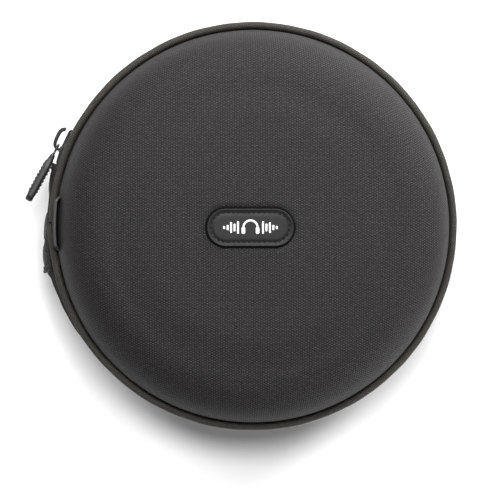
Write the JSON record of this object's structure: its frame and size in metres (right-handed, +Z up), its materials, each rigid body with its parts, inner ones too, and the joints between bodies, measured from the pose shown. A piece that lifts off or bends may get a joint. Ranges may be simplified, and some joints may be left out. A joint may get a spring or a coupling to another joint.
{
  "type": "headphone carrying case",
  "caption": "Round moulded clamshell case for over-ear headphones, with two shallow fabric-covered domes, piped seams, a side zip with a hanging puller and a fabric hinge.",
  "frame": {"origin": "centre of the base's flat resting face", "axes": "+Z up through the lid, the fabric hinge at -X, the slider parked at -X and +Y"},
  "size_m": [0.2548, 0.2408, 0.095],
  "materials": {
    "nylon_cover": "ballistic nylon weave, moulded, slightly shiny yarns",
    "eva_foam": "moulded EVA foam, matt, closed cell",
    "fleece_lining": "brushed short-pile fleece",
    "welt_fabric": "fine diagonal weave, bias-cut",
    "welt_cord": "twisted cord",
    "binding_tape": "ribbed grosgrain",
    "zip_tape": "herringbone woven tape",
    "zip_chain": "nylon coil with a soft shine",
    "black_metal": "black lacquer, lightly worn on its edges",
    "black_rubber": "moulded rubber, satin",
    "black_thread": "bonded sewing thread",
    "white_print": "screen-printed, matt",
    "pocket_net": "knitted polyester net",
    "pocket_elastic": "folded elastic edge"
  },
  "bodies": {
    "base": {"base_cover": "nylon_cover", "base_shell": "eva_foam", "base_lining": "fleece_lining", "base_piping": "welt_fabric", "base_piping_cord": "welt_cord", "base_binding": "binding_tape", "base_zip_tape": "zip_tape", "base_zip_coil": "zip_chain", "base_zip_stops": "black_metal", "hinge_panel": "nylon_cover", "hinge_lining": "fleece_lining", "hinge_stitching": "black_thread"},
    "lid": {"lid_cover": "nylon_cover", "lid_shell": "eva_foam", "lid_lining": "fleece_lining", "lid_piping": "welt_fabric", "lid_piping_cord": "welt_cord", "lid_binding": "binding_tape", "lid_zip_tape": "zip_tape", "lid_zip_coil": "zip_chain", "lid_zip_stops": "black_metal", "pocket_mesh": "pocket_net", "pocket_binding": "pocket_elastic", "grip_tab": "black_rubber", "badge": "black_rubber", "badge_print": "white_print", "badge_stitching": "black_thread"},
    "slider": {"slider_body": "black_metal", "slider_crown": "black_metal"},
    "puller": {"puller_link": "black_metal", "puller_grip": "black_rubber"}
  },
  "joints": [
    {"name": "lid_hinge", "type": "hinge", "parent": "base", "child": "lid", "pos_m": [-0.1275, 0, 0.04834], "axis": [0, -1, 0], "range_deg": [0, 180], "deforming": ["hinge_panel", "hinge_lining", "hinge_stitching", "lid_zip_tape", "lid_zip_coil", "lid_zip_stops"]},
    {"name": "slider_travel", "type": "hinge", "parent": "base", "child": "slider", "pos_m": [0, 0, 0.04634], "axis": [0, 0, 1], "range_deg": [-315, 0]},
    {"name": "puller_swing", "type": "hinge", "parent": "slider", "child": "puller", "pos_m": [-0.11496, 0.04821, 0.04634], "axis": [0, 0, -1], "range_deg": [0, 110]}
  ]
}
